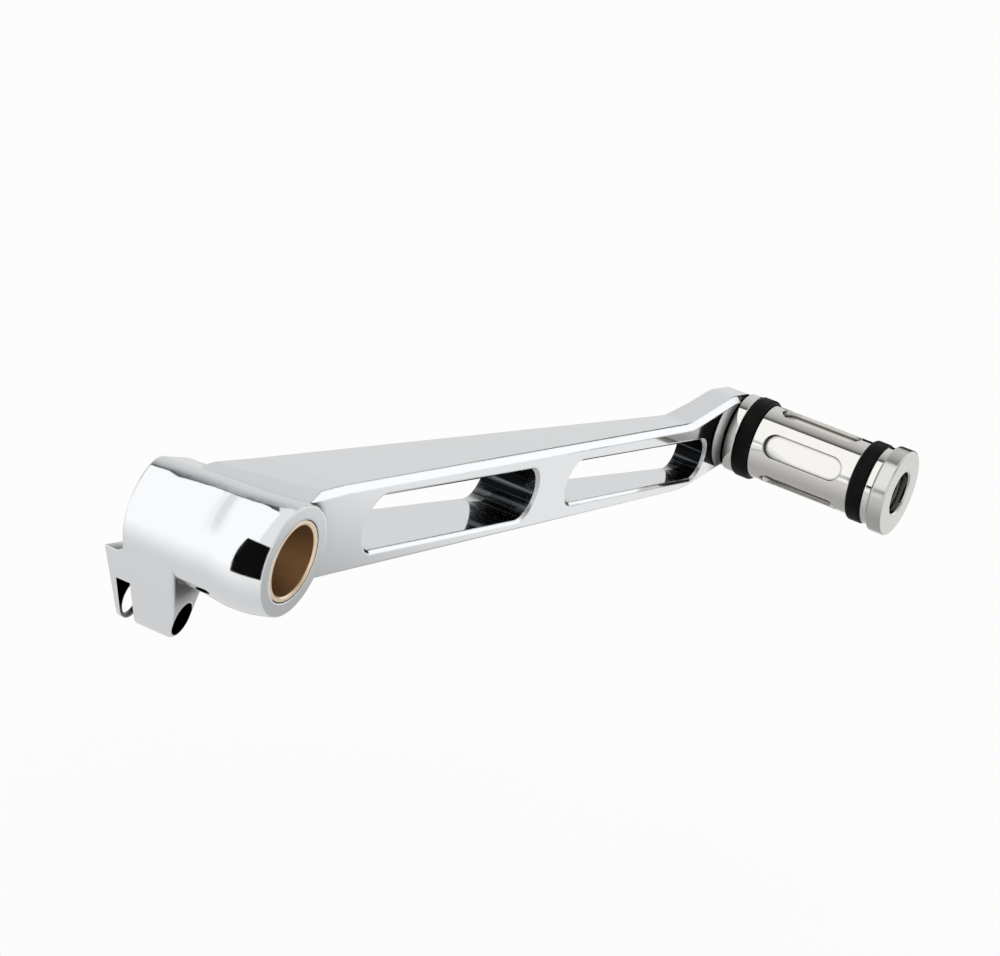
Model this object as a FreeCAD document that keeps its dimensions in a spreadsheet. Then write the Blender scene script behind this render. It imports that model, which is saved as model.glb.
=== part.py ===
import FreeCAD, Part
import math
import os
import re
import Sketcher

# Motorcycle foot brake lever with a bolted toe peg.
# Millimetres. Origin on the pivot axis at the boss's outer end face, +X along the arm to the peg,
# +Z up, +Y inboard, so the outer side of the lever faces -Y.

SIZES = {
    # pivot boss: depths are measured inboard from its outer end face
    "boss_length": 40.3,
    "boss_radius": 15.95,
    "collar_face_radius": 14.8,
    "collar_radius": 17.2,
    "collar_peak": 8.5,
    "collar_blend_round": 30.0,
    "flare_depth": 19.0,
    "flare_round": 40.0,
    "bushing_outer_radius": 11.1125,
    "bushing_bore_radius": 9.525,
    "bushing_length": 15.9,
    "bushing_edge_chamfer": 0.4,
    # top of boss and arm, drafted so that it falls away inboard
    "draft_angle": 2.9,
    "platform_height": 15.05,
    "platform_fall": 7.0,
    "platform_skew": 26.0,
    "platform_edge_round": 8.5,
    "ramp_top": 9.5,
    "ramp_angle": 14.0,
    "ramp_head": 23.0,
    "arm_top_at_boss": 16.0,
    "ramp_head_round": 30.0,
    "arm_top_at_root": 17.2,
    "arm_top_at_tip": 18.7,
    "tip_rise_start": 252.0,
    "tip_rise_end": 283.0,
    "tip_rise_round": 24.0,
    # arm
    "arm_set_back": 1.8,
    "arm_overlap": 6.0,
    "arm_root_depth": 28.7,
    "arm_tip_depth": 11.7,
    "root_flare": 3.0,
    "root_flare_end": 22.0,
    "root_flare_round": 60.0,
    "arm_taper_end": 266.0,
    "arm_taper_round": 60.0,
    "arm_bottom_at_root": -7.2,
    "arm_bottom_at_tip": -3.2,
    "arm_knee": 258.0,
    "arm_knee_round": 60.0,
    "arm_bottom_at_eye": 5.0,
    "top_edge_chamfer": 1.8,
    # lightening slots
    "rear_slot_start": 38.7,
    "rear_slot_end": 142.6,
    "rear_slot_bottom": -2.6,
    "front_slot_start": 163.8,
    "front_slot_end": 268.0,
    "front_slot_bottom": -0.3,
    "slot_top": 12.6,
    "slot_edge_chamfer": 0.9,
    # peg eye
    "peg_reach": 294.2,
    "peg_height": 13.6,
    "eye_radius": 12.3,
    # clevis
    "clevis_outer_depth": 28.6,
    "clevis_inner_depth": 46.2,
    "clevis_side_lean": 6.5,
    "clevis_side_turn": 5.7,
    "clevis_inner_lean": 3.0,
    "clevis_edge_round": 1.5,
    "clevis_ledge": -11.9,
    "ledge_round": 2.5,
    "clevis_pin_offset": 6.1,
    "clevis_pin_drop": 27.3,
    "clevis_pin_radius": 4.6,
    "clevis_ear_radius": 5.6,
    "clevis_gap": 4.3,
    "clevis_inner_ear": 2.3,
    "clevis_gap_top": -20.5,
    # peg: lengths run outward from the eye's face
    "peg_collar_width": 3.6,
    "peg_collar_radius": 13.0,
    "band_width": 5.2,
    "band_radius": 13.4,
    "band_seat_radius": 11.0,
    "band_edge_round": 0.9,
    "sleeve_width": 35.5,
    "sleeve_radius": 12.2,
    "rim_width": 2.7,
    "peg_edge_round": 0.4,
    "pocket_width": 8.0,
    "pocket_length": 27.5,
    "pocket_depth": 2.2,
    "pocket_count": 5,
    "pocket_turn": 44.0,
    "cap_width": 5.2,
    "cap_radius": 14.3,
    "cap_edge_round": 0.6,
    "cap_spigot_radius": 9.2,
    "cap_spigot_length": 10.0,
    "spigot_clearance": 0.1,
    # hexagon socket screw, M8
    "screw_radius": 4.0,
    "screw_length": 55.0,
    "screw_head_radius": 6.5,
    "screw_head_height": 8.0,
    "screw_head_round": 0.6,
    "screw_hex_width": 6.0,
    "screw_hex_depth": 4.0,
    "screw_recess": 2.6,
    "recess_edge_chamfer": 0.5,
    "screw_hole_clearance": 0.25,
    "thread_clearance": 0.05,
    "head_clearance": 0.5,
    "washer_thickness": 2.0,
    "washer_outer_radius": 6.4,
    "washer_split_width": 1.2,
}

doc = FreeCAD.newDocument("FootLever")
sheet = doc.addObject("Spreadsheet::Sheet", "sizes")
for row, (alias, value) in enumerate(SIZES.items(), start=1):
    sheet.set(f"A{row}", alias)
    sheet.set(f"B{row}", str(value))
    sheet.setAlias(f"B{row}", alias)
doc.recompute()


def cells(text):
    """Expression text with each size named through the sheet."""
    return re.sub(r"[a-z_]\w*", lambda word: "sizes." + word[0] if word[0] in SIZES else word[0], text)


def bind(thing, path, text):
    thing.setExpression(path, cells(text))


def newBody(label):
    body = doc.addObject("PartDesign::Body", label)
    body.Label = label
    return body


def newSketch(body, name, role, offset=None):
    """Sketch on one of the body's own origin planes, moved along the plane's normal."""
    sketch = body.newObject("Sketcher::SketchObject", name)
    plane = next(item for item in body.Origin.OriginFeatures if item.Role == role)
    sketch.AttachmentSupport = (plane, "")
    sketch.MapMode = "FlatFace"
    if offset is not None:
        bind(sketch, "AttachmentOffset.Base.z", offset)
    return sketch


def number(sketch, text):
    return float(sketch.evalExpression(cells(text)))


def constrain(sketch, text, kind, *places):
    """Dimension of the sketch that follows an expression of sizes."""
    index = sketch.addConstraint(Sketcher.Constraint(kind, *places, number(sketch, text)))
    bind(sketch, f"Constraints[{index}]", text)


def locate(sketch, curve, point, across, up):
    constrain(sketch, across, "DistanceX", -1, 1, curve, point)
    constrain(sketch, up, "DistanceY", -1, 1, curve, point)


def outline(sketch, corners):
    """Closed outline through corners of (across, up) or (across, up, rounding radius)."""
    spots = [FreeCAD.Vector(number(sketch, item[0]), number(sketch, item[1]), 0) for item in corners]
    count = len(corners)
    first = sketch.GeometryCount
    for index in range(count):
        sketch.addGeometry(Part.LineSegment(spots[index], spots[(index + 1) % count]), False)
    for index in range(count):
        after = first + (index + 1) % count
        sketch.addConstraint(Sketcher.Constraint("Coincident", first + index, 2, after, 1))
    for index, corner in enumerate(corners):
        locate(sketch, first + index, 1, corner[0], corner[1])
    for index, corner in enumerate(corners):
        if len(corner) == 3:
            before = first + (index - 1) % count
            arc = sketch.GeometryCount
            here = spots[index]
            near = here + (spots[index - 1] - here) * 0.01
            far = here + (spots[(index + 1) % count] - here) * 0.01
            sketch.fillet(before, first + index, near, far, number(sketch, corner[2]), True, True)
            constrain(sketch, corner[2], "Radius", arc)


def circle(sketch, across, up, radius):
    centre = FreeCAD.Vector(number(sketch, across), number(sketch, up), 0)
    normal = FreeCAD.Vector(0, 0, 1)
    index = sketch.addGeometry(Part.Circle(centre, normal, number(sketch, radius)), False)
    locate(sketch, index, 3, across, up)
    constrain(sketch, radius, "Radius", index)


def pad(body, sketch, length, reverse=False):
    feature = body.newObject("PartDesign::Pad", sketch.Name + "_pad")
    feature.Profile = sketch
    bind(feature, "Length", length)
    feature.Reversed = reverse
    doc.recompute()
    return feature


def pocket(body, sketch, length=None, reverse=False):
    """Cut of a given depth, or through everything on both sides of the sketch."""
    feature = body.newObject("PartDesign::Pocket", sketch.Name + "_pocket")
    feature.Profile = sketch
    feature.Reversed = reverse
    if length is None:
        feature.Type = "ThroughAll"
        feature.SideType = "Symmetric"
    else:
        bind(feature, "Length", length)
    before = feature.BaseFeature.Shape.Volume
    doc.recompute()
    if feature.Shape.Volume >= before:
        raise RuntimeError(sketch.Name + " cuts nothing")
    return feature


def revolve(body, sketch):
    feature = body.newObject("PartDesign::Revolution", sketch.Name + "_turn")
    feature.Profile = sketch
    feature.ReferenceAxis = (sketch, ["V_Axis"])
    feature.Angle = 360
    doc.recompute()
    return feature


def dress(body, kind, name, amount, chosen):
    """Fillet or chamfer on the edges of the body's tip that the test picks."""
    tip = body.Tip
    edges = [f"Edge{i}" for i, edge in enumerate(tip.Shape.Edges, start=1) if chosen(edge)]
    if not edges:
        raise RuntimeError(name + " finds no edge")
    feature = body.newObject("PartDesign::" + kind, name)
    feature.Base = (tip, edges)
    bind(feature, "Radius" if kind == "Fillet" else "Size", amount)
    doc.recompute()
    if "Invalid" in feature.State or not feature.Shape.isValid():
        raise RuntimeError(name + " fails")
    return feature


def size(name):
    return float(sheet.get(name))


def obround(sketch, left, right, bottom, top):
    """Slot with fully round ends."""
    radius = f"({top} - ({bottom})) / 2"
    middle = f"({top} + ({bottom})) / 2"
    x0 = number(sketch, f"{left} + {radius}")
    x1 = number(sketch, f"{right} - {radius}")
    r = number(sketch, radius)
    z = number(sketch, middle)
    first = sketch.GeometryCount
    normal = FreeCAD.Vector(0, 0, 1)
    sketch.addGeometry(Part.LineSegment(FreeCAD.Vector(x0, z - r, 0), FreeCAD.Vector(x1, z - r, 0)), False)
    rightEnd = Part.Circle(FreeCAD.Vector(x1, z, 0), normal, r)
    sketch.addGeometry(Part.ArcOfCircle(rightEnd, -math.pi / 2, math.pi / 2), False)
    sketch.addGeometry(Part.LineSegment(FreeCAD.Vector(x1, z + r, 0), FreeCAD.Vector(x0, z + r, 0)), False)
    leftEnd = Part.Circle(FreeCAD.Vector(x0, z, 0), normal, r)
    sketch.addGeometry(Part.ArcOfCircle(leftEnd, math.pi / 2, 3 * math.pi / 2), False)
    joins = [(0, 2, 1, 1), (1, 2, 2, 1), (2, 2, 3, 1), (3, 2, 0, 1)]
    for one, end, other, start in joins:
        sketch.addConstraint(Sketcher.Constraint("Tangent", first + one, end, first + other, start))
    sketch.addConstraint(Sketcher.Constraint("Equal", first + 1, first + 3))
    constrain(sketch, radius, "Radius", first + 1)
    locate(sketch, first + 3, 3, f"{left} + {radius}", middle)
    locate(sketch, first + 1, 3, f"{right} - {radius}", middle)


def clevisOutline(sketch, top=None):
    """Front face tangent to boss and ear, round ear about the pin, upright back.

    The top is level, or else runs through the boss's centre to where the front face leaves the boss.
    """
    bossRadius = size("boss_radius")
    earRadius = size("clevis_ear_radius")
    pin = FreeCAD.Vector(size("clevis_pin_offset"), -size("clevis_pin_drop"), 0)
    lean = math.atan2(pin.y, pin.x) - math.acos((bossRadius - earRadius) / pin.Length)
    across = FreeCAD.Vector(math.cos(lean), math.sin(lean), 0)
    down = FreeCAD.Vector(-across.y, across.x, 0)
    low = pin + across * earRadius
    back = FreeCAD.Vector(pin.x + earRadius, pin.y, 0)
    if top is None:
        high = across * bossRadius
        corner = FreeCAD.Vector(back.x, 0, 0)
    else:
        level = number(sketch, top)
        high = low - down * ((low.y - level) / down.y)
        corner = FreeCAD.Vector(back.x, level, 0)
    normal = FreeCAD.Vector(0, 0, 1)
    sketch.addGeometry(Part.LineSegment(high, low), False)
    sketch.addGeometry(Part.ArcOfCircle(Part.Circle(pin, normal, earRadius), lean, 2 * math.pi), False)
    sketch.addGeometry(Part.LineSegment(back, corner), False)
    sketch.addGeometry(Part.LineSegment(corner, high), False)
    sketch.addGeometry(Part.Circle(FreeCAD.Vector(), normal, bossRadius), True)
    sketch.addConstraint(Sketcher.Constraint("Tangent", 0, 2, 1, 1))
    sketch.addConstraint(Sketcher.Constraint("Tangent", 1, 2, 2, 1))
    sketch.addConstraint(Sketcher.Constraint("Coincident", 2, 2, 3, 1))
    sketch.addConstraint(Sketcher.Constraint("Coincident", 3, 2, 0, 1))
    sketch.addConstraint(Sketcher.Constraint("Vertical", 2))
    sketch.addConstraint(Sketcher.Constraint("Coincident", 4, 3, -1, 1))
    constrain(sketch, "boss_radius", "Radius", 4)
    constrain(sketch, "clevis_ear_radius", "Radius", 1)
    locate(sketch, 1, 3, "clevis_pin_offset", "-clevis_pin_drop")
    if top is None:
        sketch.addConstraint(Sketcher.Constraint("Tangent", 0, 1, 4))
        constrain(sketch, "0", "DistanceY", -1, 1, 3, 1)
    else:
        sketch.addConstraint(Sketcher.Constraint("Tangent", 0, 4))
        sketch.addConstraint(Sketcher.Constraint("Horizontal", 3))
        constrain(sketch, top, "DistanceY", -1, 1, 3, 1)


def span(edge):
    """Lowest and highest coordinates along the edge."""
    spots = edge.discretize(5)
    low = FreeCAD.Vector(*(min(getattr(spot, axis) for spot in spots) for axis in "xyz"))
    high = FreeCAD.Vector(*(max(getattr(spot, axis) for spot in spots) for axis in "xyz"))
    return low, high


def liesOn(edge, x=None, y=None, z=None, within=0.01):
    """True where the whole edge keeps the given coordinates."""
    spots = edge.discretize(5)
    wanted = ((x, "x"), (y, "y"), (z, "z"))
    return all(abs(getattr(spot, axis) - value) < within
               for value, axis in wanted if value is not None for spot in spots)


def buildClevis():
    """Clevis below the boss: front face tangent to the boss, sides that draw together towards the pin."""
    body = newBody("clevis_blank")
    root = newSketch(body, "clevis_root", "XZ_Plane")
    clevisOutline(root)
    pad(body, root, "boss_length", True)
    ears = newSketch(body, "clevis_ears", "XZ_Plane")
    clevisOutline(ears, "clevis_ledge")
    pad(body, ears, "clevis_inner_depth", True)
    bottom = "-clevis_pin_drop - 2 * clevis_ear_radius"
    outside = newSketch(body, "clevis_outside", "YZ_Plane", "clevis_pin_offset")
    outside.AttachmentOffset.Rotation = FreeCAD.Rotation(FreeCAD.Vector(0, 1, 0), size("clevis_side_turn"))
    bind(outside, "AttachmentOffset.Rotation.Angle", "clevis_side_turn")
    middle = "clevis_outer_depth * cos(clevis_side_turn * 1deg)"
    outline(outside, [
        (f"{middle} - (clevis_pin_drop + boss_radius) * tan(clevis_side_lean * 1deg)", "boss_radius"),
        (f"{middle} + 2 * clevis_ear_radius * tan(clevis_side_lean * 1deg)", bottom),
        ("-boss_radius", bottom),
        ("-boss_radius", "boss_radius"),
    ])
    pocket(body, outside)
    inside = newSketch(body, "clevis_inside", "YZ_Plane")
    outline(inside, [
        ("clevis_inner_depth", "clevis_ledge"),
        (f"clevis_inner_depth + ({bottom} - clevis_ledge) * tan(clevis_inner_lean * 1deg)", bottom),
        ("clevis_inner_depth + boss_radius", bottom),
        ("clevis_inner_depth + boss_radius", "clevis_ledge"),
    ])
    pocket(body, inside)
    # the rounding has to stay on its ledge
    mostOfLedge = "(clevis_inner_depth - boss_length) * 0.8"
    dress(body, "Fillet", "ledge_fillet", f"min(ledge_round; {mostOfLedge})", lambda edge: liesOn(
        edge, y=size("boss_length"), z=size("clevis_ledge")))
    dress(body, "Fillet", "clevis_edge", "clevis_edge_round", isClevisEdge)
    return body


def buildBoss():
    """Pivot boss: a barrel that swells to the collar at its outer end, with the sloping platform on top."""
    body = newBody("boss_blank")
    barrel = newSketch(body, "barrel", "XY_Plane")
    outline(barrel, [
        ("0", "0"),
        ("collar_face_radius", "0"),
        ("collar_radius", "collar_peak", "collar_blend_round"),
        ("boss_radius", "flare_depth", "flare_round"),
        ("boss_radius", "boss_length"),
        ("0", "boss_length"),
    ])
    revolve(body, barrel)
    platform = newSketch(body, "platform", "XZ_Plane")
    platform.AttachmentOffset = FreeCAD.Placement(
        FreeCAD.Vector(), FreeCAD.Rotation(FreeCAD.Vector(0, 1, 0), size("platform_skew")))
    bind(platform, "AttachmentOffset.Rotation.Angle", "platform_skew")
    reach = "2 * boss_length"
    drop = f"{reach} * tan(platform_fall * 1deg)"
    outline(platform, [
        (f"-{reach}", f"platform_height + {drop}"),
        (reach, f"platform_height - {drop}"),
        (reach, reach),
        (f"-{reach}", reach),
    ])
    # the barrel stays in two faces, because the fillet needs the seam between them
    pocket(body, platform).Refine = False
    doc.recompute()
    dress(body, "Fillet", "platform_edge", "platform_edge_round", isPlatformEdge)
    return body


def isPlatformEdge(edge):
    """Edge where the platform leaves the barrel on the side away from the arm."""
    low, high = span(edge)
    return low.z > 0 and high.x < 0 and not liesOn(edge, y=low.y)


def isClevisEdge(edge):
    """Edge between the clevis's front face, or the ear below it, and its outer side."""
    low, high = span(edge)
    onOuterSide = high.y < (size("clevis_outer_depth") + size("boss_length")) / 2
    return onOuterSide and high.x < size("clevis_pin_offset") and high.y - low.y < size("clevis_ear_radius")


def isTopEdge(edge):
    """Upper edge of the arm's outer face, from the ramp to the eye."""
    low, high = span(edge)
    onOuterFace = liesOn(edge, y=size("arm_set_back"))
    return onOuterFace and low.z > size("slot_top") + 1 and high.x < size("peg_reach")


def isSlotEdge(edge, name):
    """Rim of a slot in the arm's outer face."""
    low, high = span(edge)
    slack = 0.1
    inLength = low.x > size(name + "_slot_start") - slack and high.x < size(name + "_slot_end") + slack
    inHeight = low.z > size(name + "_slot_bottom") - slack and high.z < size("slot_top") + slack
    return liesOn(edge, y=size("arm_set_back")) and inLength and inHeight


def buildArm():
    blanks = [buildBoss(), buildClevis()]
    body = newBody("lever_arm")

    # arm blank in side view; its front end dies into the round eye
    side = newSketch(body, "arm_side", "XZ_Plane", "-arm_set_back")
    outline(side, [
        ("-arm_overlap", "arm_bottom_at_root"),
        ("0", "arm_bottom_at_root"),
        ("arm_knee", "arm_bottom_at_tip", "arm_knee_round"),
        ("peg_reach", "arm_bottom_at_eye"),
        ("peg_reach", "peg_height + eye_radius"),
        ("-arm_overlap", "peg_height + eye_radius"),
    ])
    pad(body, side, "arm_root_depth + root_flare - arm_set_back", True)

    eye = newSketch(body, "eye", "XZ_Plane", "-arm_set_back")
    circle(eye, "peg_reach", "peg_height", "eye_radius")
    pad(body, eye, "arm_tip_depth - arm_set_back", True)

    # inboard side tapers from the boss to the eye and flares where it joins the boss
    taper = newSketch(body, "arm_taper", "XY_Plane")
    taperLoss = "(arm_root_depth - arm_tip_depth) * root_flare_end / arm_taper_end"
    outline(taper, [
        ("-arm_overlap", "arm_root_depth + root_flare"),
        ("0", "arm_root_depth + root_flare"),
        ("root_flare_end", f"arm_root_depth - {taperLoss}", "root_flare_round"),
        ("arm_taper_end", "arm_tip_depth", "arm_taper_round"),
        ("peg_reach + 2 * eye_radius", "arm_tip_depth"),
        ("peg_reach + 2 * eye_radius", "arm_root_depth + eye_radius"),
        ("-arm_overlap", "arm_root_depth + eye_radius"),
    ])
    pocket(body, taper)

    # drafted top, which falls away inboard, with the rise to the eye
    top = newSketch(body, "top_profile", "XZ_Plane")
    top.AttachmentOffset = FreeCAD.Placement(
        FreeCAD.Vector(), FreeCAD.Rotation(FreeCAD.Vector(1, 0, 0), -size("draft_angle")))
    bind(top, "AttachmentOffset.Rotation.Angle", "-draft_angle")
    outline(top, [
        ("-collar_radius", "arm_top_at_boss"),
        ("0", "arm_top_at_boss"),
        ("ramp_head", "arm_top_at_root", "ramp_head_round"),
        ("tip_rise_start", "arm_top_at_tip", "tip_rise_round"),
        ("tip_rise_end", "peg_height + eye_radius", "tip_rise_round"),
        ("peg_reach + 2 * eye_radius", "peg_height + eye_radius"),
        ("peg_reach + 2 * eye_radius", "peg_height + 3 * eye_radius"),
        ("-collar_radius", "peg_height + 3 * eye_radius"),
    ])
    pocket(body, top)

    # ramp from the platform up to the arm's top
    ramp = newSketch(body, "ramp", "XZ_Plane")
    outline(ramp, [
        ("ramp_top - boss_radius / tan(ramp_angle * 1deg)", "arm_top_at_boss - boss_radius"),
        ("ramp_top + eye_radius / tan(ramp_angle * 1deg)", "arm_top_at_boss + eye_radius"),
        ("-2 * boss_length", "arm_top_at_boss + eye_radius"),
        ("-2 * boss_length", "arm_top_at_boss - boss_radius"),
    ])
    pocket(body, ramp)

    dress(body, "Chamfer", "top_edge", "top_edge_chamfer", isTopEdge)
    for name in ("rear", "front"):
        slot = newSketch(body, name + "_slot", "XZ_Plane")
        obround(slot, name + "_slot_start", name + "_slot_end", name + "_slot_bottom", "slot_top")
        pocket(body, slot)
        dress(body, "Chamfer", name + "_slot_edge", "slot_edge_chamfer", lambda edge: isSlotEdge(edge, name))

    # arm, boss and clevis are one forging
    joined = body.newObject("PartDesign::Boolean", "forging")
    joined.Type = "Fuse"
    joined.setObjects(blanks)
    doc.recompute()

    # bores and the clevis gap
    bore = newSketch(body, "pivot_bore", "XZ_Plane")
    circle(bore, "0", "0", "bushing_outer_radius")
    pocket(body, bore)
    tapped = newSketch(body, "peg_hole", "XZ_Plane")
    circle(tapped, "peg_reach", "peg_height", "screw_radius + thread_clearance")
    pocket(body, tapped)
    pin = newSketch(body, "clevis_pin_hole", "XZ_Plane")
    circle(pin, "clevis_pin_offset", "-clevis_pin_drop", "clevis_pin_radius")
    pocket(body, pin)
    gap = newSketch(body, "clevis_gap", "YZ_Plane")
    gapBottom = "-clevis_pin_drop - 2 * clevis_ear_radius"
    outline(gap, [
        ("clevis_inner_depth - clevis_inner_ear - clevis_gap", "clevis_gap_top"),
        ("clevis_inner_depth - clevis_inner_ear", "clevis_gap_top"),
        ("clevis_inner_depth - clevis_inner_ear", gapBottom),
        ("clevis_inner_depth - clevis_inner_ear - clevis_gap", gapBottom),
    ])
    pocket(body, gap)
    return body


def turned(label, corners):
    """Body turned about its own Y axis from corners of (radius, along Y[, rounding radius])."""
    body = newBody(label)
    section = newSketch(body, label + "_section", "XY_Plane")
    outline(section, corners)
    revolve(body, section)
    return body


def placeOnPeg(body):
    """Peg pieces are drawn on the peg's axis, with the eye's outer face at zero."""
    body.Placement.Rotation = FreeCAD.Rotation(FreeCAD.Vector(0, 1, 0), size("pocket_turn"))
    bind(body, "Placement.Base.x", "peg_reach")
    bind(body, "Placement.Base.y", "arm_set_back")
    bind(body, "Placement.Base.z", "peg_height")
    bind(body, "Placement.Rotation.Angle", "pocket_turn")


def buildBushing(label, start):
    """Plain bushing with both edges broken at each end."""
    body = turned(label, [
        ("bushing_bore_radius", "bushing_edge_chamfer"),
        ("bushing_bore_radius + bushing_edge_chamfer", "0"),
        ("bushing_outer_radius - bushing_edge_chamfer", "0"),
        ("bushing_outer_radius", "bushing_edge_chamfer"),
        ("bushing_outer_radius", "bushing_length - bushing_edge_chamfer"),
        ("bushing_outer_radius - bushing_edge_chamfer", "bushing_length"),
        ("bushing_bore_radius + bushing_edge_chamfer", "bushing_length"),
        ("bushing_bore_radius", "bushing_length - bushing_edge_chamfer"),
    ])
    bind(body, "Placement.Base.y", start)
    return body


# stations along the peg, outward from the eye's face
bandOne = "-peg_collar_width"
sleeveStart = f"{bandOne} - band_width"
sleeveEnd = f"{sleeveStart} - sleeve_width"
rimStart = f"{sleeveEnd} - band_width"
capStart = f"{rimStart} - rim_width"
capEnd = f"{capStart} - cap_width"
headSeat = f"{capEnd} + screw_recess + screw_head_height"
washerSeat = f"{headSeat} + washer_thickness"
screwHole = "screw_radius + screw_hole_clearance"


def buildPeg():
    """Bored peg with two band seats and long pockets sunk round its sleeve."""
    spigotHole = "cap_spigot_radius + spigot_clearance"
    spigotFloor = f"{capStart} + cap_spigot_length + spigot_clearance"
    body = turned("peg_body", [
        (screwHole, "0"),
        ("peg_collar_radius", "0", "peg_edge_round"),
        ("peg_collar_radius", bandOne, "peg_edge_round"),
        ("band_seat_radius", bandOne),
        ("band_seat_radius", sleeveStart),
        ("sleeve_radius", sleeveStart, "peg_edge_round"),
        ("sleeve_radius", sleeveEnd, "peg_edge_round"),
        ("band_seat_radius", sleeveEnd),
        ("band_seat_radius", rimStart),
        ("peg_collar_radius", rimStart, "peg_edge_round"),
        ("peg_collar_radius", capStart, "peg_edge_round"),
        (spigotHole, capStart),
        (spigotHole, spigotFloor),
        (screwHole, spigotFloor),
    ])
    middle = f"({sleeveStart} + {sleeveEnd}) / 2"
    floor = newSketch(body, "sleeve_pocket", "YZ_Plane", "sleeve_radius - pocket_depth")
    obround(floor, f"{middle} - pocket_length / 2", f"{middle} + pocket_length / 2",
            "-pocket_width / 2", "pocket_width / 2")
    sunk = pocket(body, floor, "2 * pocket_depth", True)
    ring = body.newObject("PartDesign::PolarPattern", "sleeve_pockets")
    ring.Originals = [sunk]
    ring.Axis = (next(item for item in body.Origin.OriginFeatures if item.Role == "Y_Axis"), [""])
    ring.Angle = 360
    bind(ring, "Occurrences", "pocket_count")
    body.Tip = ring
    doc.recompute()
    placeOnPeg(body)
    return body


def buildBand(label, start):
    body = turned(label, [
        ("band_seat_radius", start),
        ("band_radius", start, "band_edge_round"),
        ("band_radius", f"{start} - band_width", "band_edge_round"),
        ("band_seat_radius", f"{start} - band_width"),
    ])
    placeOnPeg(body)
    return body


def buildCap():
    """Flanged end cap: its spigot enters the peg and its recess takes washer and screw head."""
    headHole = "screw_head_radius + head_clearance"
    body = turned("peg_end_cap", [
        (screwHole, f"{capStart} + cap_spigot_length"),
        ("cap_spigot_radius", f"{capStart} + cap_spigot_length"),
        ("cap_spigot_radius", capStart),
        ("cap_radius", capStart, "cap_edge_round"),
        ("cap_radius", capEnd, "cap_edge_round"),
        (f"{headHole} + recess_edge_chamfer", capEnd),
        (headHole, f"{capEnd} + recess_edge_chamfer"),
        (headHole, washerSeat),
        (screwHole, washerSeat),
    ])
    placeOnPeg(body)
    return body


def buildScrew():
    body = turned("peg_screw", [
        ("0", f"{headSeat} - screw_head_height"),
        ("screw_head_radius", f"{headSeat} - screw_head_height", "screw_head_round"),
        ("screw_head_radius", headSeat),
        ("screw_radius", headSeat),
        ("screw_radius", f"{headSeat} + screw_length"),
        ("0", f"{headSeat} + screw_length"),
    ])
    socket = newSketch(body, "hex_socket", "XZ_Plane", f"-({headSeat} - screw_head_height)")
    corner = "screw_hex_width / 2 / cos(30deg)"
    outline(socket, [
        (f"{corner} * cos({turn}deg)", f"{corner} * sin({turn}deg)") for turn in range(0, 360, 60)])
    pocket(body, socket, "screw_hex_depth")
    placeOnPeg(body)
    return body


def buildWasher():
    """Spring washer under the screw head, split on one side."""
    body = turned("screw_lock_washer", [
        (screwHole, headSeat),
        ("washer_outer_radius", headSeat),
        ("washer_outer_radius", washerSeat),
        (screwHole, washerSeat),
    ])
    split = newSketch(body, "washer_split", "XZ_Plane", f"-({headSeat})")
    outline(split, [
        ("0", "-washer_split_width / 2"),
        ("2 * washer_outer_radius", "-washer_split_width / 2"),
        ("2 * washer_outer_radius", "washer_split_width / 2"),
        ("0", "washer_split_width / 2"),
    ])
    pocket(body, split, "washer_thickness")
    placeOnPeg(body)
    return body


nodes = [
    buildArm(),
    buildBushing("outer_bushing", "0"),
    buildBushing("inner_bushing", "boss_length - bushing_length"),
    buildPeg(),
    buildBand("inner_band", bandOne),
    buildBand("outer_band", sleeveEnd),
    buildCap(),
    buildScrew(),
    buildWasher(),
]
doc.recompute()
for item in doc.Objects:
    if "Invalid" in item.State or "Error" in item.State:
        raise RuntimeError(item.Label + " is not built: " + ", ".join(item.State))

os.makedirs("parts", exist_ok=True)
for node in nodes:
    shape = node.Shape
    if shape.isNull() or not shape.isValid() or len(shape.Solids) != 1:
        raise RuntimeError(node.Label + " is not one sound solid")
    shape.exportStep(f"parts/{node.Label}.step")
    print(f"{node.Label}: {shape.Volume / 1000:.2f} cm3")
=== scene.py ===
import math

import bpy
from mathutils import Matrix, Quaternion, Vector


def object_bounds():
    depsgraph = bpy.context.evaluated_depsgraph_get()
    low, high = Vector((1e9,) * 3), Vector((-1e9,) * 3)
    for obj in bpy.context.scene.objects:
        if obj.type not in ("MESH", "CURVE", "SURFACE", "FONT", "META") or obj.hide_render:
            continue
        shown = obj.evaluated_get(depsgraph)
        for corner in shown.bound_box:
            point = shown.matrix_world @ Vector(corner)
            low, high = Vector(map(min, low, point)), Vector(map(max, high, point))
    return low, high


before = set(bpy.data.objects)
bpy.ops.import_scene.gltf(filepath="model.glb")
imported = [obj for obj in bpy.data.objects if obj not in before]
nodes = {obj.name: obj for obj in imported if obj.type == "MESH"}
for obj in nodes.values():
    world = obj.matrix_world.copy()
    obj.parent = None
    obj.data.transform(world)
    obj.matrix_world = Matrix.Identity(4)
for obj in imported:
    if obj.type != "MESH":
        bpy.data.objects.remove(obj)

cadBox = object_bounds()
mm = 0.001
white = (1, 1, 1, 1)
edgeSamples = 6                      # rays that look for edges and recesses at each point
print("frame loaded:", ", ".join(sorted(nodes)))


def hexToLinear(code):
    channels = [int(code[i:i + 2], 16) / 255 for i in (1, 3, 5)]
    return [c / 12.92 if c <= 0.04045 else ((c + 0.055) / 1.055) ** 2.4 for c in channels] + [1.0]


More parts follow.
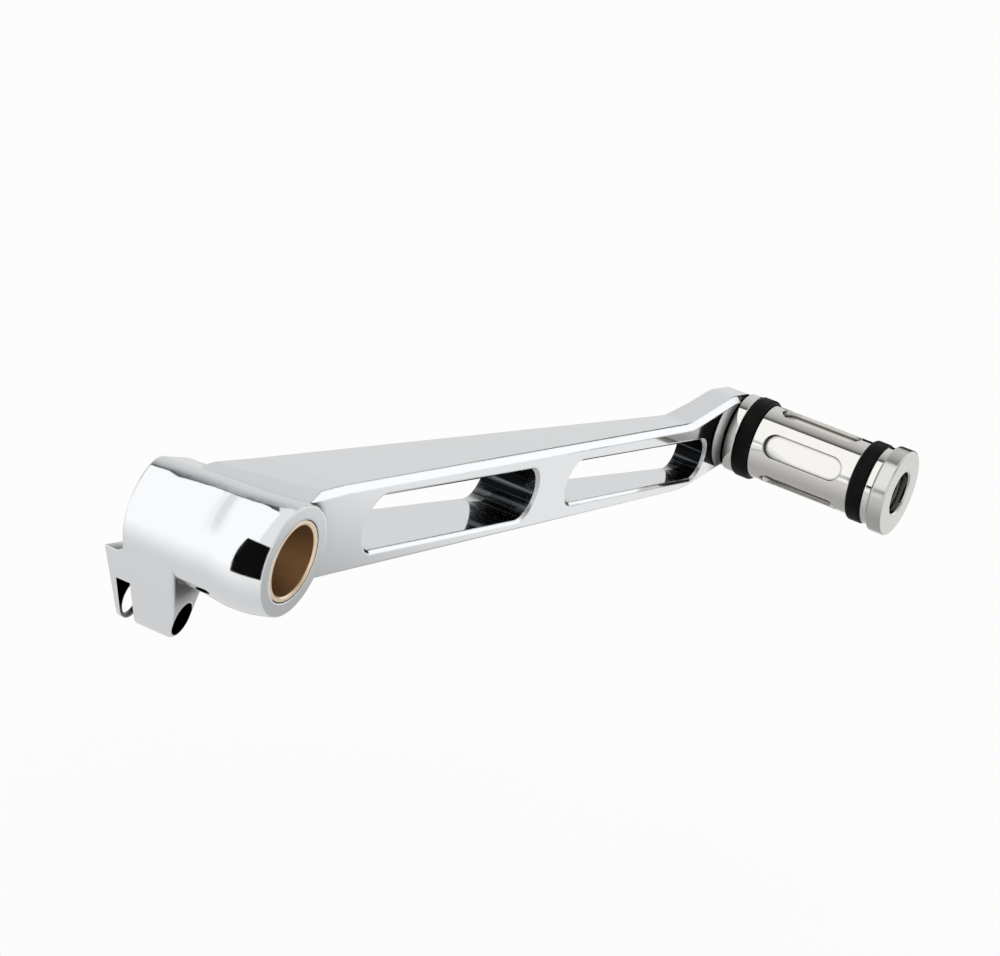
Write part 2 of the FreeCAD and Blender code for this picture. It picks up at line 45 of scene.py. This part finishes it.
def addNode(tree, kind, settings=None, links=None):
    # settings fill the node's properties and sockets, links join another node's output to a socket here
    node = tree.nodes.new(kind)
    for key, value in (settings or {}).items():
        if isinstance(key, str) and hasattr(node, key):
            setattr(node, key, value)
        else:
            node.inputs[key].default_value = value
    for key, source in (links or {}).items():
        tree.links.new(source, node.inputs[key])
    return node


def startMaterial(name):
    material = bpy.data.materials.new(name)
    material.use_nodes = True
    tree = material.node_tree
    tree.nodes.clear()
    return material, tree


def finishMaterial(tree, shader):
    addNode(tree, "ShaderNodeOutputMaterial", links={"Surface": shader.outputs[0]})


def dress(nodeName, material):
    for slot in nodes[nodeName].material_slots:
        slot.material = material


# lever forging: decorative chrome over buffed aluminium
chromePlate = {
    "colour": "#E0E2E4",
    "paintedShade": ("#0F1011", "#6C6E72"),  # painted shade in holes and slot ends: near black, and grey along the cutter marks
    "paintedShadeReach": 12 * mm,
    "paintedShadeFrom": (0.72, 0.97),        # how open the place is, from dark to bright
    "paintedShadeSamples": 16,               # fewer rays leave speckle in the slots
    "endTilt": (0.3, 0.8),           # from side walls of the slots to their end walls
    "endShade": 2.4,                 # end walls count as more closed, so their painted shade is deeper
    "slotFrom": (22 * mm, 34 * mm),  # distance along the arm, from the boss to where slots can be
    "cutter": 1.4 * mm,              # marks of the end mill, which run through the arm
    "cutterStretch": 0.02,
    "cutterShows": (0.5, 0.74),      # part of the noise that makes a mark
    "cutterTilt": (0.5, 0.2),        # marks stay on walls that run through the arm
    "roughness": (0.03, 0.085),      # clean plate to wiped film
    "filmSize": 14 * mm,             # patches left by wiping
    "filmShows": (0.35, 0.75),
    "edge": 0.7 * mm,                # edges that the buffing wheel rounds over
    "wave": 9 * mm,                  # slow ripple that buffing leaves under the plate
    "waveDepth": 0.0022 * mm,
    "scratch": 0.35 * mm,            # buffing lines, drawn coarser than real ones so that they show
    "scratchDepth": 0.0006 * mm,
    "stretch": 0.04,                 # buffing lines run along the arm
}


def makeChrome(name, values):
    # plated mirror: reflections bend a little with the buffed metal and dull a little where it was wiped
    material, tree = startMaterial(name)
    place = addNode(tree, "ShaderNodeTexCoord").outputs["Object"]
    film = addNode(tree, "ShaderNodeTexNoise",
                   {"Scale": 1 / values["filmSize"], "Detail": 3.0, "Roughness": 0.6}, {"Vector": place})
    clean, boreToFace = values["filmShows"]
    low, high = values["roughness"]
    dull = addNode(tree, "ShaderNodeMapRange",
                   {"From Min": clean, "From Max": boreToFace, "To Min": low, "To Max": high},
                   {"Value": film.outputs["Fac"]})

    # painted shade in the recesses and slot ends, where ambient occlusion finds them closed, with streaks
    # where a cutter ran
    normal = addNode(tree, "ShaderNodeNewGeometry").outputs["Normal"]
    facing = addNode(tree, "ShaderNodeSeparateXYZ", links={0: normal})
    endwise = addNode(tree, "ShaderNodeMath", {"operation": "ABSOLUTE"}, {0: facing.outputs["X"]})
    where = addNode(tree, "ShaderNodeSeparateXYZ", links={0: place})
    boss, slots = values["slotFrom"]
    slotted = addNode(tree, "ShaderNodeMapRange",
                      {"From Min": boss, "From Max": slots, "To Min": 1.0, "To Max": values["endShade"]},
                      {"Value": where.outputs["X"]})
    side, end = values["endTilt"]
    ends = addNode(tree, "ShaderNodeMapRange", {"From Min": side, "From Max": end, "To Min": 1.0},
                   {"Value": endwise.outputs[0], "To Max": slotted.outputs[0]})
    openness = addNode(tree, "ShaderNodeAmbientOcclusion",
                       {"samples": values["paintedShadeSamples"], "Distance": values["paintedShadeReach"]})
    shut = addNode(tree, "ShaderNodeMath", {"operation": "SUBTRACT", 0: 1.0}, {1: openness.outputs["AO"]})
    closed = addNode(tree, "ShaderNodeMath", {"operation": "MULTIPLY"},
                     {0: shut.outputs[0], 1: ends.outputs[0]})
    dark, bright = values["paintedShadeFrom"]
    cover = addNode(tree, "ShaderNodeMapRange",
                    {"interpolation_type": "SMOOTHSTEP", "From Min": 1 - dark, "From Max": 1 - bright},
                    {"Value": closed.outputs[0]})
    through = addNode(tree, "ShaderNodeMapping", {"Scale": (1.0, values["cutterStretch"], 1.0)},
                      {"Vector": place})
    marks = addNode(tree, "ShaderNodeTexNoise", {"Scale": 1 / values["cutter"], "Detail": 3.0},
                    {"Vector": through.outputs[0]})
    faint, strong = values["cutterShows"]
    streak = addNode(tree, "ShaderNodeMapRange", {"From Min": faint, "From Max": strong},
                     {"Value": marks.outputs["Fac"]})
    aside = addNode(tree, "ShaderNodeMath", {"operation": "ABSOLUTE"}, {0: facing.outputs["Y"]})
    across, along = values["cutterTilt"]
    wall = addNode(tree, "ShaderNodeMapRange", {"From Min": across, "From Max": along},
                   {"Value": aside.outputs[0]})
    milled = addNode(tree, "ShaderNodeMath", {"operation": "MULTIPLY"},
                     {0: streak.outputs[0], 1: wall.outputs[0]})
    black, grey = [hexToLinear(code) for code in values["paintedShade"]]
    paintedShadeColour = addNode(tree, "ShaderNodeMix", {"data_type": "RGBA", 6: black, 7: grey}, {0: milled.outputs[0]})
    tint = addNode(tree, "ShaderNodeMix", {"data_type": "RGBA", 7: hexToLinear(values["colour"])},
                   {0: cover.outputs[0], 6: paintedShadeColour.outputs[2]})

    # rounded edges, then the slow ripple, then the fine lines
    edge = addNode(tree, "ShaderNodeBevel", {"samples": edgeSamples, "Radius": values["edge"]})
    ripple = addNode(tree, "ShaderNodeTexNoise", {"Scale": 1 / values["wave"], "Detail": 1.0},
                     {"Vector": place})
    swell = addNode(tree, "ShaderNodeBump", {"Strength": 1.0, "Distance": values["waveDepth"]},
                    {"Height": ripple.outputs["Fac"], "Normal": edge.outputs[0]})
    drawn = addNode(tree, "ShaderNodeMapping", {"Scale": (values["stretch"], 1.0, 1.0)}, {"Vector": place})
    lines = addNode(tree, "ShaderNodeTexNoise", {"Scale": 1 / values["scratch"], "Detail": 2.0},
                    {"Vector": drawn.outputs[0]})
    buffed = addNode(tree, "ShaderNodeBump", {"Strength": 1.0, "Distance": values["scratchDepth"]},
                     {"Height": lines.outputs["Fac"], "Normal": swell.outputs[0]})
    shader = addNode(tree, "ShaderNodeBsdfPrincipled", {"Metallic": 1.0},
                     {"Base Color": tint.outputs[2], "Roughness": dull.outputs[0],
                      "Normal": buffed.outputs[0]})
    finishMaterial(tree, shader)
    return material


dress("lever_arm", makeChrome("buffedChromePlate", chromePlate))

# peg: turned and plated, slightly warmer than the lever, with lines that have no one direction
# the peg keeps painted shade in its pockets, over a shorter reach
pegPlate = dict(chromePlate, colour="#DEDCD8", filmSize=8 * mm, edge=0.4 * mm, wave=6 * mm, stretch=1.0,
                paintedShade=("#161615", "#3A3937"), paintedShadeReach=2.2 * mm, paintedShadeFrom=(0.45, 0.8), endShade=1.0)
dress("peg_body", makeChrome("turnedChromePlate", pegPlate))
print("chrome done")

# end cap: faced on a lathe and plated, so the fine rings spread each reflection across them
capPlate = {
    "colour": "#CBCAC7",
    # painted shade in the screw recess, darkest where it is most closed
    "recess": "#1C1B1A",
    "recessReach": 5 * mm,
    "recessFrom": (0.4, 0.8),        # how open the place is, from dark to bright
    "roughness": 0.16,
    "spread": 0.75,
    "ringPitch": 0.5 * mm,           # real feed is about 0.1 mm, drawn coarser so that it shows
    "ringDepth": 0.0016 * mm,
    "ringWander": 0.6,
    "edge": 0.35 * mm,
    "centre": (294.2 * mm, 0.0, 13.6 * mm),
}


def makeFacedPlate(name, values):
    material, tree = startMaterial(name)
    place = addNode(tree, "ShaderNodeTexCoord").outputs["Object"]
    spoke = addNode(tree, "ShaderNodeVectorMath", {"operation": "SUBTRACT", 1: values["centre"]}, {0: place})
    aroundPeg = addNode(tree, "ShaderNodeVectorMath", {"operation": "CROSS_PRODUCT", 1: (0, 1, 0)},
                        {0: spoke.outputs[0]})
    # a wave repeats every pi / 10 of its scale
    rings = addNode(tree, "ShaderNodeTexWave",
                    {"wave_type": "RINGS", "rings_direction": "Y", "Distortion": values["ringWander"],
                     "Scale": math.pi / (10 * values["ringPitch"])}, {"Vector": spoke.outputs[0]})
    # painted shade in the recess round the screw, where ambient occlusion finds it closed
    openness = addNode(tree, "ShaderNodeAmbientOcclusion",
                       {"samples": edgeSamples, "Distance": values["recessReach"]})
    dark, bright = values["recessFrom"]
    cover = addNode(tree, "ShaderNodeMapRange",
                    {"interpolation_type": "SMOOTHSTEP", "From Min": dark, "From Max": bright},
                    {"Value": openness.outputs["AO"]})
    tint = addNode(tree, "ShaderNodeMix",
                   {"data_type": "RGBA", 6: hexToLinear(values["recess"]), 7: hexToLinear(values["colour"])},
                   {0: cover.outputs[0]})
    edge = addNode(tree, "ShaderNodeBevel", {"samples": edgeSamples, "Radius": values["edge"]})
    faced = addNode(tree, "ShaderNodeBump", {"Strength": 1.0, "Distance": values["ringDepth"]},
                    {"Height": rings.outputs["Fac"], "Normal": edge.outputs[0]})
    shader = addNode(tree, "ShaderNodeBsdfPrincipled",
                     {"Metallic": 1.0, "Roughness": values["roughness"], "Anisotropic": values["spread"]},
                     {"Base Color": tint.outputs[2], "Normal": faced.outputs[0],
                      "Tangent": aroundPeg.outputs[0]})
    finishMaterial(tree, shader)
    return material


dress("peg_end_cap", makeFacedPlate("facedChromePlate", capPlate))
print("end cap done")

# bushings: sintered bronze, faced and bored on a lathe
bushingBronze = {
    "colour": "#EFDDC5",
    "bore": "#EAD1B0",
    "oiled": "#C09A70",
    "oilShows": (0.5, 0.75),
    "oilMost": 0.35,
    "boreRadius": (9.6 * mm, 9.95 * mm),   # the bore is a little darker and browner than the face
    "roughness": (0.24, 0.4),
    "toolPitch": 0.25 * mm,
    "toolDepth": 0.003 * mm,
    "pore": 0.5 * mm,                # real pores are far finer, drawn coarser so that they show
}


def makeBronze(name, values):
    # oil fills the pores, so the metal is mottled and only half bright, and browner in the bore
    material, tree = startMaterial(name)
    place = addNode(tree, "ShaderNodeTexCoord").outputs["Object"]
    flat = addNode(tree, "ShaderNodeVectorMath", {"operation": "MULTIPLY", 1: (1, 0, 1)}, {0: place})
    radius = addNode(tree, "ShaderNodeVectorMath", {"operation": "LENGTH"}, {0: flat.outputs[0]})
    inner, outer = values["boreRadius"]
    face = addNode(tree, "ShaderNodeMapRange", {"From Min": inner, "From Max": outer},
                   {"Value": radius.outputs["Value"]})
    pores = addNode(tree, "ShaderNodeTexNoise", {"Scale": 1 / values["pore"], "Detail": 4.0},
                    {"Vector": place})
    dry, wet = values["oilShows"]
    oil = addNode(tree, "ShaderNodeMapRange",
                  {"From Min": dry, "From Max": wet, "To Min": 0.0, "To Max": values["oilMost"]},
                  {"Value": pores.outputs["Fac"]})
    boreToFace = addNode(tree, "ShaderNodeMix",
                    {"data_type": "RGBA", 6: hexToLinear(values["bore"]), 7: hexToLinear(values["colour"])},
                    {0: face.outputs[0]})
    tint = addNode(tree, "ShaderNodeMix", {"data_type": "RGBA", 7: hexToLinear(values["oiled"])},
                   {0: oil.outputs[0], 6: boreToFace.outputs[2]})
    low, high = values["roughness"]
    dull = addNode(tree, "ShaderNodeMapRange", {"To Min": low, "To Max": high},
                   {"Value": pores.outputs["Fac"]})
    rings = addNode(tree, "ShaderNodeTexWave",
                    {"wave_type": "RINGS", "rings_direction": "Y",
                     "Scale": math.pi / (10 * values["toolPitch"])}, {"Vector": place})
    turned = addNode(tree, "ShaderNodeBump", {"Strength": 1.0, "Distance": values["toolDepth"]},
                     {"Height": rings.outputs["Fac"]})
    shader = addNode(tree, "ShaderNodeBsdfPrincipled", {"Metallic": 1.0},
                     {"Base Color": tint.outputs[2], "Roughness": dull.outputs[0],
                      "Normal": turned.outputs[0]})
    finishMaterial(tree, shader)
    return material


bronze = makeBronze("turnedBronze", bushingBronze)
dress("outer_bushing", bronze)
dress("inner_bushing", bronze)
print("bronze done")

# bands: moulded nitrile rubber
bandRubber = {
    "colour": "#080808",
    "dust": "#121211",
    "dustSize": 3 * mm,
    "dustShows": (0.5, 0.8),
    "ior": 1.52,
    "gloss": 0.08,                   # carbon black swallows most of the sheen
    "roughness": (0.4, 0.55),
    "grain": 0.4 * mm,
    "grainDepth": 0.012 * mm,
}


def makeRubber(name, values):
    # fine moulded grain with a soft sheen and a trace of dust
    material, tree = startMaterial(name)
    place = addNode(tree, "ShaderNodeTexCoord").outputs["Object"]
    grain = addNode(tree, "ShaderNodeTexNoise", {"Scale": 1 / values["grain"], "Detail": 3.0},
                    {"Vector": place})
    dust = addNode(tree, "ShaderNodeTexNoise", {"Scale": 1 / values["dustSize"], "Detail": 4.0},
                   {"Vector": place})
    clean, dusty = values["dustShows"]
    veil = addNode(tree, "ShaderNodeMapRange", {"From Min": clean, "From Max": dusty},
                   {"Value": dust.outputs["Fac"]})
    tint = addNode(tree, "ShaderNodeMix",
                   {"data_type": "RGBA", 6: hexToLinear(values["colour"]), 7: hexToLinear(values["dust"])},
                   {0: veil.outputs[0]})
    low, high = values["roughness"]
    dull = addNode(tree, "ShaderNodeMapRange", {"To Min": low, "To Max": high},
                   {"Value": grain.outputs["Fac"]})
    skin = addNode(tree, "ShaderNodeBump", {"Strength": 1.0, "Distance": values["grainDepth"]},
                   {"Height": grain.outputs["Fac"]})
    shader = addNode(tree, "ShaderNodeBsdfPrincipled",
                     {"IOR": values["ior"], "Specular IOR Level": values["gloss"]},
                     {"Base Color": tint.outputs[2], "Roughness": dull.outputs[0], "Normal": skin.outputs[0]})
    finishMaterial(tree, shader)
    return material


rubber = makeRubber("mouldedRubber", bandRubber)
dress("inner_band", rubber)
dress("outer_band", rubber)
print("rubber done")

# screw and spring washer: zinc plated steel
screwZinc = {
    "colour": "#6E6A64",
    "roughness": (0.22, 0.4),
    "bloom": 1.5 * mm,               # cloudy patches of the plating
}


def makeZinc(name, values):
    # grey plate that is dull in patches
    material, tree = startMaterial(name)
    place = addNode(tree, "ShaderNodeTexCoord").outputs["Object"]
    bloom = addNode(tree, "ShaderNodeTexNoise", {"Scale": 1 / values["bloom"], "Detail": 4.0},
                    {"Vector": place})
    low, high = values["roughness"]
    dull = addNode(tree, "ShaderNodeMapRange", {"To Min": low, "To Max": high},
                   {"Value": bloom.outputs["Fac"]})
    shader = addNode(tree, "ShaderNodeBsdfPrincipled",
                     {"Base Color": hexToLinear(values["colour"]), "Metallic": 1.0},
                     {"Roughness": dull.outputs[0]})
    finishMaterial(tree, shader)
    return material


zinc = makeZinc("zincPlatedSteel", screwZinc)
dress("peg_screw", zinc)
dress("screw_lock_washer", zinc)
print("screw done")


def addStage(name, points, faces, material):
    mesh = bpy.data.meshes.new(name)
    mesh.from_pydata(points, [], faces)
    mesh.materials.append(material)
    piece = bpy.data.objects.new(name, mesh)
    bpy.context.scene.collection.objects.link(piece)
    return piece


# floor, a little below the lever, which is shown in the air
floorSet = {
    "drop": 90 * mm,
    "reach": 40.0,
    "colour": "#F8F8F7",
    "shadow": 0.35,                  # how much of the shadow shows
}
floorLevel = cadBox[0][2] - floorSet["drop"]
oneFace = [(0, 1, 2, 3)]


def makeFloor(values):
    material, tree = startMaterial("paleFloor")
    plain = addNode(tree, "ShaderNodeBsdfDiffuse", {"Color": hexToLinear(values["colour"])})
    glow = addNode(tree, "ShaderNodeEmission", {"Color": white, "Strength": 1.0})
    bright = addNode(tree, "ShaderNodeMixShader", {0: 1 - values["shadow"]},
                     {1: plain.outputs[0], 2: glow.outputs[0]})
    path = addNode(tree, "ShaderNodeLightPath")
    mirrored = addNode(tree, "ShaderNodeMath", {"operation": "MAXIMUM"},
                       {0: path.outputs["Is Glossy Ray"], 1: path.outputs["Is Transmission Ray"]})
    seen = addNode(tree, "ShaderNodeMath", {"operation": "MAXIMUM"},
                   {0: path.outputs["Is Camera Ray"], 1: mirrored.outputs[0]})
    shader = addNode(tree, "ShaderNodeMixShader",
                     links={0: seen.outputs[0], 1: plain.outputs[0], 2: bright.outputs[0]})
    finishMaterial(tree, shader)
    half = values["reach"] / 2
    corners = [(-half, -half), (half, -half), (half, half), (-half, half)]
    addStage("floor", [(x, y, floorLevel) for x, y in corners], oneFace, material)


makeFloor(floorSet)

# studio: white all round, with grey walls, two soft panels and a black flag by the lens
studio = {
    "white": 1.0,
    "radius": 1.6,                   # walls and roof are bent round the pivot axis
    "greyWall": {                    # behind the peg; levels are degrees from the front horizon, brightness
        "side": (0.1, 7.0),
        "levels": [(-4, 0.8), (46, 0.8), (66, 0.64), (79, 0.45), (86, 0.2), (92, 0.01)],
    },
    "backWall": {                    # just inside the far end of the roof panel
        "inset": 0.02, "side": (0.95, 7.0), "fade": (0.95, 1.6),
        "levels": [(93, 0.5), (120, 0.68), (150, 0.82), (165, 0.98), (180, 1.26)],
    },
    "outerWall": {                   # for the views from the motorcycle
        "side": (-4.0, -0.9), "fade": (-0.9, -1.3),
        "levels": [(-4, 1.0), (25, 0.84), (60, 0.6), (90, 0.3), (120, 0.6), (155, 0.84), (180, 1.0)],
    },
    "roofSide": (0.0, 2.6),
    "roofTurn": (93, 205),
    "panel": 1.26,
    "dark": 0.004,
    "nearPanel": [(1.5, -1.3, 0.25), (1.5, -0.03, 0.25), (1.5, -0.03, 1.3), (1.5, -1.3, 1.3)],
    "darkGap": [(1.45, -0.2, -0.05), (1.45, 0.38, -0.05), (1.45, 0.38, 1.3), (1.45, -0.2, 1.3)],
    "blackFlag": [(-0.14, 0.056, -0.112), (-0.14, -0.066, -0.112), (-0.14, -0.066, 0.058),
                  (-0.14, 0.025, 0.058)],
    "whiteBounce": {                 # white sheet on the floor before the boss
        "box": (-1.6, -0.06, 0.0, 2.6), "height": 8 * mm, "levels": (1.26,),
        "fades": {"X": [(-0.02, -0.24)], "Y": [(-0.06, 0.06)]},
    },
    "underLeverShade": {                   # painted shade: grey sheet under the lever that stands in for its shadow on the floor, darker under the peg
        "box": (-0.16, -0.5, 0.6, 0.5), "height": 5 * mm, "levels": (0.8, 0.5), "shadeFrom": (0.1, 0.26),
        "fades": {"X": [(-0.16, 0.0), (0.6, 0.36)], "Y": [(-0.5, -0.1), (0.5, 0.2)]},
    },
}


def makeWorld(strength):
    world = bpy.data.worlds.new("studio")
    bpy.context.scene.world = world
    world.use_nodes = True
    tree = world.node_tree
    tree.nodes.clear()
    around = addNode(tree, "ShaderNodeBackground", {"Color": white, "Strength": strength})
    addNode(tree, "ShaderNodeOutputWorld", links={"Surface": around.outputs[0]})


def addCard(name, points, faces, material):
    # a card shows in the plate and nowhere else
    card = addStage(name, points, faces, material)
    card.visible_camera = False
    card.visible_shadow = False
    card.visible_diffuse = False


def bentSheet(radius, turns, sides):
    # sheet bent round the pivot axis
    steps = 48
    points = []
    for step in range(steps + 1):
        turn = math.radians(turns[0] + (turns[1] - turns[0]) * step / steps)
        for side in sides:
            points.append((radius * math.cos(turn), side, radius * math.sin(turn)))
    faces = [(2 * step, 2 * step + 1, 2 * step + 3, 2 * step + 2) for step in range(steps)]
    return points, faces


def addEvenCard(name, points, faces, level):
    material, tree = startMaterial(name)
    finishMaterial(tree, addNode(tree, "ShaderNodeEmission", {"Color": white, "Strength": level}))
    addCard(name, points, faces, material)


def addWall(name, radius, values):
    # wall whose brightness goes by the angle round the pivot axis, and which may fade in along that axis
    material, tree = startMaterial(name)
    place = addNode(tree, "ShaderNodeTexCoord").outputs["Object"]
    way = addNode(tree, "ShaderNodeSeparateXYZ", links={0: place})
    turn = addNode(tree, "ShaderNodeMath", {"operation": "ARCTAN2"},
                   {0: way.outputs["Z"], 1: way.outputs["X"]})
    levels = values["levels"]
    first, last = levels[0][0], levels[-1][0]
    share = addNode(tree, "ShaderNodeMapRange",
                    {"From Min": math.radians(first), "From Max": math.radians(last)},
                    {"Value": turn.outputs[0]})
    ramp = addNode(tree, "ShaderNodeValToRGB", links={0: share.outputs[0]})
    stops = ramp.color_ramp.elements
    while len(stops) < len(levels):
        stops.new(1.0)
    for stop, (angle, level) in zip(stops, levels):
        stop.position = (angle - first) / (last - first)
        stop.color = (level, level, level, 1)
    shader = addNode(tree, "ShaderNodeEmission", {"Color": white}, {"Strength": ramp.outputs[0]})
    if "fade" in values:
        clear, full = values["fade"]
        cover = addNode(tree, "ShaderNodeMapRange",
                        {"interpolation_type": "SMOOTHSTEP", "From Min": clear, "From Max": full},
                        {"Value": way.outputs["Y"]})
        air = addNode(tree, "ShaderNodeBsdfTransparent")
        shader = addNode(tree, "ShaderNodeMixShader",
                         links={0: cover.outputs[0], 1: air.outputs[0], 2: shader.outputs[0]})
    finishMaterial(tree, shader)
    sheet = bentSheet(radius - values.get("inset", 0.0), (first, last), values["side"])
    addCard(name, *sheet, material)


def addFadingSheet(name, values):
    # glowing sheet just over the floor that fades out at its rims
    material, tree = startMaterial(name)
    place = addNode(tree, "ShaderNodeTexCoord").outputs["Object"]
    way = addNode(tree, "ShaderNodeSeparateXYZ", links={0: place})
    shine = addNode(tree, "ShaderNodeEmission", {"Color": white, "Strength": values["levels"][0]})
    if "shadeFrom" in values:
        start, end = values["shadeFrom"]
        near, far = values["levels"]
        shade = addNode(tree, "ShaderNodeMapRange",
                        {"From Min": start, "From Max": end, "To Min": near, "To Max": far},
                        {"Value": way.outputs["X"]})
        tree.links.new(shade.outputs[0], shine.inputs["Strength"])
    cover = None
    for axis, rims in values["fades"].items():
        for clear, full in rims:
            rim = addNode(tree, "ShaderNodeMapRange",
                          {"interpolation_type": "SMOOTHSTEP", "From Min": clear, "From Max": full},
                          {"Value": way.outputs[axis]})
            if cover:
                rim = addNode(tree, "ShaderNodeMath", {"operation": "MULTIPLY"},
                              {0: rim.outputs[0], 1: cover.outputs[0]})
            cover = rim
    air = addNode(tree, "ShaderNodeBsdfTransparent")
    shader = addNode(tree, "ShaderNodeMixShader",
                     links={0: cover.outputs[0], 1: air.outputs[0], 2: shine.outputs[0]})
    finishMaterial(tree, shader)
    x0, y0, x1, y1 = values["box"]
    level = floorLevel + values["height"]
    corners = [(x0, y0, level), (x1, y0, level), (x1, y1, level), (x0, y1, level)]
    addCard(name, corners, oneFace, material)


def makeStudio(values):
    makeWorld(values["white"])
    for name in ("greyWall", "backWall", "outerWall"):
        addWall(name, values["radius"], values[name])
    roof = bentSheet(values["radius"], values["roofTurn"], values["roofSide"])
    addEvenCard("roofPanel", *roof, values["panel"])
    addEvenCard("nearPanel", values["nearPanel"], oneFace, values["panel"])
    for name in ("blackFlag", "darkGap"):
        addEvenCard(name, values[name], oneFace, values["dark"])
    for name in ("whiteBounce", "underLeverShade"):
        addFadingSheet(name, values[name])


makeStudio(studio)
print("studio done")

# camera, found from the slots, the boss and the peg in the photograph
cameraSet = {
    "place": Vector((-0.73165, -0.35492, 0.21393)),
    "direction": Vector((0.8999, 0.3796, -0.2147)),
    "roll": 16.94,                   # degrees
    "sensor": 36.0,
    "lens": 122.4,
    "nearest": 10 * mm,
}


def makeCamera(values):
    camera = bpy.data.objects.new("camera", bpy.data.cameras.new("camera"))
    bpy.context.scene.collection.objects.link(camera)
    level = values["direction"].to_track_quat("-Z", "Y")
    tilt = Quaternion((0, 0, 1), math.radians(values["roll"]))
    camera.location = values["place"]
    camera.rotation_mode = "QUATERNION"
    camera.rotation_quaternion = level @ tilt
    camera.data.sensor_width = values["sensor"]
    camera.data.lens = values["lens"]
    camera.data.clip_start = values["nearest"]
    bpy.context.scene.camera = camera


makeCamera(cameraSet)
bpy.context.scene.view_settings.view_transform = "Standard"
print("scene done")
